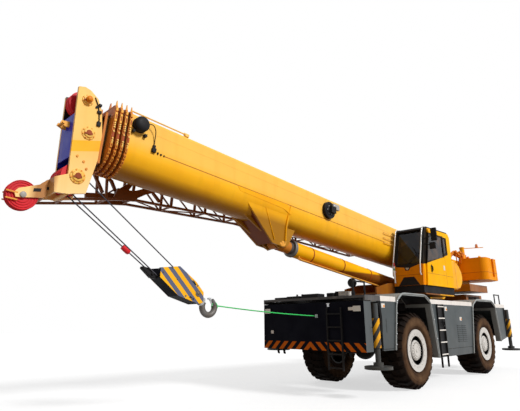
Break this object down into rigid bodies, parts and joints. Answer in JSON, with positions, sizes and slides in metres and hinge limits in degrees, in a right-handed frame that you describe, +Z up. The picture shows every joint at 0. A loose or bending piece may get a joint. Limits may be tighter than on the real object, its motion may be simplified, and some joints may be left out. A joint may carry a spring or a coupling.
{
  "type": "mobile crane",
  "caption": "Rough-terrain mobile crane with a telescopic boom, side cab, counterweight, outriggers and a hook block lashed back for travel.",
  "frame": {"origin": "on the ground under the middle of the outline", "axes": "+X forward along the boom, +Y to the left (cab side), +Z up"},
  "size_m": [17.0619, 3.77, 5.4978],
  "materials": {
    "yellow": "gloss",
    "grey": "satin",
    "navy": "satin",
    "pale": "satin",
    "dark": "satin",
    "tyre": "matte",
    "rim": "satin",
    "steel": "satin",
    "red": "satin",
    "glass": "gloss",
    "trim": "matte",
    "cast": "matte",
    "lamp": "gloss",
    "jib": "satin"
  },
  "bodies": {
    "carrier": {"chassis_frame": "dark", "front_plate": "navy", "deck": "pale", "side_panels": "grey", "wheel_arches": "grey", "rear_body": "grey", "engine_hood": "yellow", "engine_block": "cast", "axles": "dark", "ladders": "dark", "handrails": "steel", "lamps": "lamp", "slew_ring": "dark"},
    "upper": {"turntable": "yellow", "counterweight": "yellow", "winches": "cast", "cab_shell": "yellow", "cab_glass": "glass", "cab_base": "dark", "cab_seat": "trim", "cab_mirrors": "trim"},
    "door": {"cab_door": "yellow", "door_glass": "glass"},
    "boom": {"boom_base": "yellow", "fly_jib": "jib", "cable_reels": "trim"},
    "tele_section_2": {"section_2": "yellow"},
    "tele_section_3": {"section_3": "yellow"},
    "tele_section_4": {"section_4": "yellow"},
    "tele_section_5": {"section_5": "yellow", "boom_head": "yellow", "head_sheaves": "red"},
    "hook_block": {"hoist_ropes": "steel", "hook_block": "yellow", "hook": "cast"},
    "cylinder": {"luff_barrel": "yellow"},
    "cylinder_rod": {"luff_rod": "steel"},
    "knuckle_fl": {"knuckle_fl": "dark"},
    "wheel_fl": {"tyre_fl": "tyre", "rim_fl": "rim"},
    "outrigger_fl": {"beam_fl": "yellow"},
    "float_fl": {"jack_fl": "steel"},
    "knuckle_fr": {"knuckle_fr": "dark"},
    "wheel_fr": {"tyre_fr": "tyre", "rim_fr": "rim"},
    "outrigger_fr": {"beam_fr": "yellow"},
    "float_fr": {"jack_fr": "steel"},
    "knuckle_rl": {"knuckle_rl": "dark"},
    "wheel_rl": {"tyre_rl": "tyre", "rim_rl": "rim"},
    "outrigger_rl": {"beam_rl": "yellow"},
    "float_rl": {"jack_rl": "steel"},
    "knuckle_rr": {"knuckle_rr": "dark"},
    "wheel_rr": {"tyre_rr": "tyre", "rim_rr": "rim"},
    "outrigger_rr": {"beam_rr": "yellow"},
    "float_rr": {"jack_rr": "steel"}
  },
  "joints": [
    {"name": "slew", "type": "hinge", "parent": "carrier", "child": "upper", "pos_m": [-3.49, 0, 2.4], "axis": [0, 0, 1], "continuous": true},
    {"name": "boom_luff", "type": "hinge", "parent": "upper", "child": "boom", "pos_m": [-5.84, 0, 3.45], "axis": [0, -1, 0], "range_deg": [-4.7, 75.3]},
    {"name": "tele_2", "type": "slide", "parent": "boom", "child": "tele_section_2", "axis": [0.9966, 0, 0.0819], "range_m": [0, 9.2]},
    {"name": "tele_3", "type": "slide", "parent": "tele_section_2", "child": "tele_section_3", "axis": [0.9966, 0, 0.0819], "range_m": [0, 9.2]},
    {"name": "tele_4", "type": "slide", "parent": "tele_section_3", "child": "tele_section_4", "axis": [0.9966, 0, 0.0819], "range_m": [0, 9.2]},
    {"name": "tele_5", "type": "slide", "parent": "tele_section_4", "child": "tele_section_5", "axis": [0.9966, 0, 0.0819], "range_m": [0, 9.2]},
    {"name": "luff_cylinder", "type": "hinge", "parent": "upper", "child": "cylinder", "pos_m": [-3.49, 0, 2.7], "axis": [0, -1, 0], "range_deg": [-5.36, 84.31]},
    {"name": "luff_rod", "type": "slide", "parent": "cylinder", "child": "cylinder_rod", "axis": [0.9923, 0, 0.1235], "range_m": [-0.1755, 2.7823]},
    {"name": "hook_swing", "type": "hinge", "parent": "tele_section_5", "child": "hook_block", "pos_m": [7.58748, 0, 3.90977], "axis": [0, -1, 0], "range_deg": [-20.05, 1.35]},
    {"name": "steer_front_left", "type": "hinge", "parent": "carrier", "child": "knuckle_fl", "pos_m": [-0.94, 0.88, 0.9375], "axis": [0, 0, 1], "range_deg": [-24, 24]},
    {"name": "wheel_front_left_spin", "type": "hinge", "parent": "knuckle_fl", "child": "wheel_fl", "pos_m": [-0.94, 1.205, 0.9375], "axis": [0, 1, 0], "continuous": true},
    {"name": "steer_front_right", "type": "hinge", "parent": "carrier", "child": "knuckle_fr", "pos_m": [-0.94, -0.88, 0.9375], "axis": [0, 0, 1], "range_deg": [-24, 24]},
    {"name": "wheel_front_right_spin", "type": "hinge", "parent": "knuckle_fr", "child": "wheel_fr", "pos_m": [-0.94, -1.205, 0.9375], "axis": [0, 1, 0], "continuous": true},
    {"name": "steer_rear_left", "type": "hinge", "parent": "carrier", "child": "knuckle_rl", "pos_m": [-5.79, 0.88, 0.9375], "axis": [0, 0, 1], "range_deg": [-24, 24]},
    {"name": "wheel_rear_left_spin", "type": "hinge", "parent": "knuckle_rl", "child": "wheel_rl", "pos_m": [-5.79, 1.205, 0.9375], "axis": [0, 1, 0], "continuous": true},
    {"name": "steer_rear_right", "type": "hinge", "parent": "carrier", "child": "knuckle_rr", "pos_m": [-5.79, -0.88, 0.9375], "axis": [0, 0, 1], "range_deg": [-24, 24]},
    {"name": "wheel_rear_right_spin", "type": "hinge", "parent": "knuckle_rr", "child": "wheel_rr", "pos_m": [-5.79, -1.205, 0.9375], "axis": [0, 1, 0], "continuous": true},
    {"name": "outrigger_front_left", "type": "slide", "parent": "carrier", "child": "outrigger_fl", "axis": [0, 1, 0], "range_m": [0, 2]},
    {"name": "jack_front_left", "type": "slide", "parent": "outrigger_fl", "child": "float_fl", "axis": [0, 0, -1], "range_m": [-0.3, 0.66]},
    {"name": "outrigger_front_right", "type": "slide", "parent": "carrier", "child": "outrigger_fr", "axis": [0, -1, 0], "range_m": [0, 2]},
    {"name": "jack_front_right", "type": "slide", "parent": "outrigger_fr", "child": "float_fr", "axis": [0, 0, -1], "range_m": [0, 0.96]},
    {"name": "outrigger_rear_left", "type": "slide", "parent": "carrier", "child": "outrigger_rl", "axis": [0, 1, 0], "range_m": [0, 2]},
    {"name": "jack_rear_left", "type": "slide", "parent": "outrigger_rl", "child": "float_rl", "axis": [0, 0, -1], "range_m": [-0.3, 0.66]},
    {"name": "outrigger_rear_right", "type": "slide", "parent": "carrier", "child": "outrigger_rr", "axis": [0, -1, 0], "range_m": [0, 2]},
    {"name": "jack_rear_right", "type": "slide", "parent": "outrigger_rr", "child": "float_rr", "axis": [0, 0, -1], "range_m": [0, 0.96]},
    {"name": "cab_door_slide", "type": "slide", "parent": "upper", "child": "door", "axis": [-1, 0, 0], "range_m": [0, 0.75]}
  ],
  "couplings": [
    {"joint": "tele_3", "follows": "tele_2", "ratio": 1},
    {"joint": "tele_4", "follows": "tele_2", "ratio": 1},
    {"joint": "tele_5", "follows": "tele_2", "ratio": 1},
    {"joint": "luff_cylinder", "follows": "boom_luff", "ratio": 1.1183},
    {"joint": "luff_rod", "follows": "boom_luff", "m_per_rad": 2.1155},
    {"joint": "hook_swing", "follows": "boom_luff", "ratio": -0.265},
    {"joint": "steer_front_right", "follows": "steer_front_left", "ratio": 1},
    {"joint": "steer_rear_right", "follows": "steer_rear_left", "ratio": 1}
  ]
}
